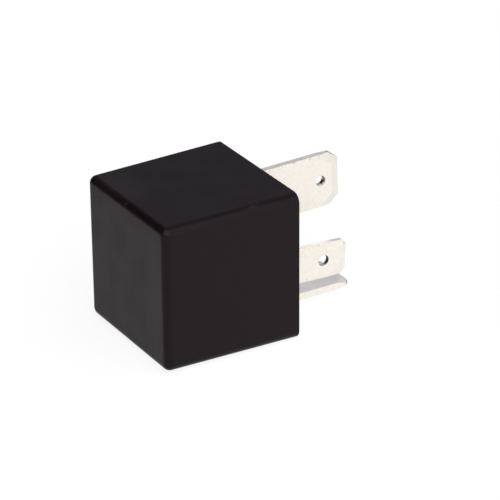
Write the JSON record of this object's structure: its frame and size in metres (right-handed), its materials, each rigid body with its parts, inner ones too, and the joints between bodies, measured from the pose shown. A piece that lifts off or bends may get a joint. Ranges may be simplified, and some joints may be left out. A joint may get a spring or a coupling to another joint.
{
  "type": "automotive relay",
  "caption": "Closed plug-in power relay: a black moulded cap over a coil, hinged armature and make contact, with flat tinned blades through its base.",
  "frame": {"origin": "centre of the cap's rim, in the plane in which the relay seats on its socket", "axes": "+X along the blades, out of the base; +Z towards blade 30, up as the relay lies on its side; +Y from blade 85 to blade 86"},
  "size_m": [0.0401, 0.026, 0.026],
  "materials": {
    "cap_plastic": "moulded, slightly satin, near-black",
    "base_plastic": "moulded, glass-filled, near-black",
    "sealing_resin": "cast resin, glossy",
    "tinned_copper_alloy": "matt tin plate on copper alloy",
    "plated_steel": "zinc plated soft iron",
    "bobbin_plastic": "moulded, natural colour",
    "enamelled_wire": "enamelled copper wire",
    "coil_tape": "polyester tape",
    "resistor_body": "lacquered film resistor",
    "tinned_wire": "tinned copper wire",
    "spring_alloy": "rolled copper alloy strip",
    "contact_silver": "silver alloy, bright",
    "rivet_brass": "brass, plain"
  },
  "bodies": {
    "housing": {"cap": "cap_plastic", "base": "base_plastic", "sealing_ring": "sealing_resin", "terminal_30": "tinned_copper_alloy", "terminal_87": "tinned_copper_alloy", "terminal_85": "tinned_copper_alloy", "terminal_86": "tinned_copper_alloy", "yoke": "plated_steel", "core": "plated_steel", "bobbin": "bobbin_plastic", "winding": "enamelled_wire", "winding_tape": "coil_tape", "coil_lead_85": "enamelled_wire", "coil_lead_86": "enamelled_wire", "resistor": "resistor_body", "resistor_leads": "tinned_wire", "fixed_contact": "contact_silver", "terminal_rivet": "rivet_brass", "spring_rivets": "rivet_brass"},
    "armature": {"armature": "plated_steel", "contact_spring": "spring_alloy", "moving_contact": "contact_silver", "armature_rivets": "rivet_brass"}
  },
  "joints": [
    {"name": "armature_hinge", "type": "hinge", "parent": "housing", "child": "armature", "pos_m": [-0.01946, 0, 0.0086], "axis": [0, -1, 0], "range_deg": [0, 3.2], "stiffness_Nm_per_rad": 0.02, "springref_deg": -17.19, "deforming": ["contact_spring"]}
  ]
}
